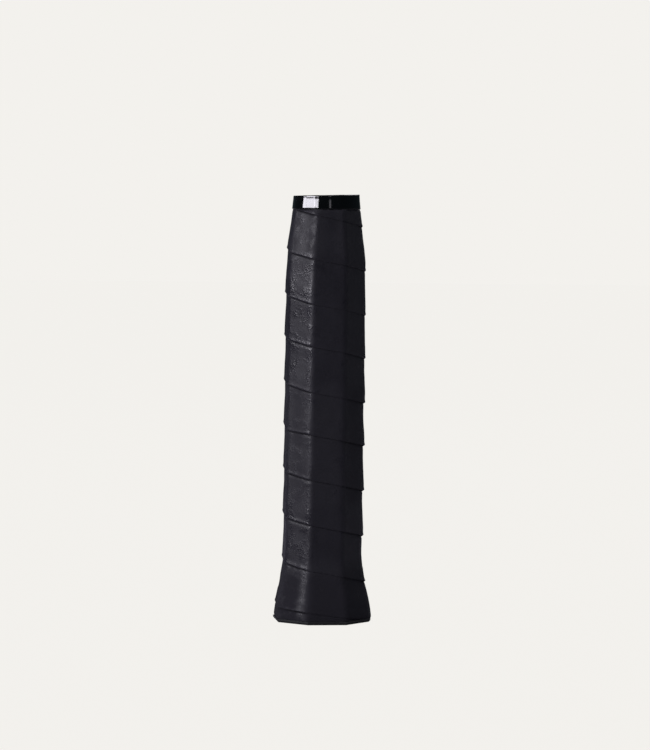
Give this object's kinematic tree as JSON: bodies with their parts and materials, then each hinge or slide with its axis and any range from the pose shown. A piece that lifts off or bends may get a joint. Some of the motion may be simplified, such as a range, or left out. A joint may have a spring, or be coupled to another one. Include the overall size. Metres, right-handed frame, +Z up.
{
  "type": "wrapped racket grip",
  "caption": "Octagonal racket handle with a flared butt cap, spirally wound in an overlapping leather strip that ends under a band of glossy tape.",
  "frame": {"origin": "centre of the butt's end plane, on the surface that the handle stands on", "axes": "+Z up the handle towards the racket's head; -Y out of the front wide flat; +X to the right seen from the front"},
  "size_m": [0.0434, 0.0412, 0.19],
  "materials": {
    "leather": "satin black grain leather, fine pebble",
    "vinyl": "mirror-gloss black vinyl tape",
    "cap_plastic": "fine-textured black moulding",
    "door_plastic": "smooth satin black moulding",
    "pallet_foam": "tan moulded polyurethane, matt",
    "composite": "carbon-fibre laminate, satin",
    "adhesive": "clear-amber adhesive film",
    "foam_tape": "white closed-cell foam tape",
    "steel_wire": "bright galvanised wire"
  },
  "bodies": {
    "handle": {"leather_grip": "leather", "grip_adhesive_tape": "adhesive", "finishing_tape": "vinyl", "starter_staple": "steel_wire", "butt_cap": "cap_plastic", "butt_cap_staples": "steel_wire", "pallet_front": "pallet_foam", "pallet_rear": "pallet_foam", "shaft_tube_left": "composite", "shaft_tube_right": "composite", "shaft_bond_line": "adhesive", "shim_tape_front": "foam_tape", "shim_tape_rear": "foam_tape"},
    "door": {"trap_door": "door_plastic"}
  },
  "joints": [
    {"name": "trap_door_pull", "type": "slide", "parent": "handle", "child": "door", "axis": [0, 0, -1], "range_m": [0, 0.01]}
  ]
}
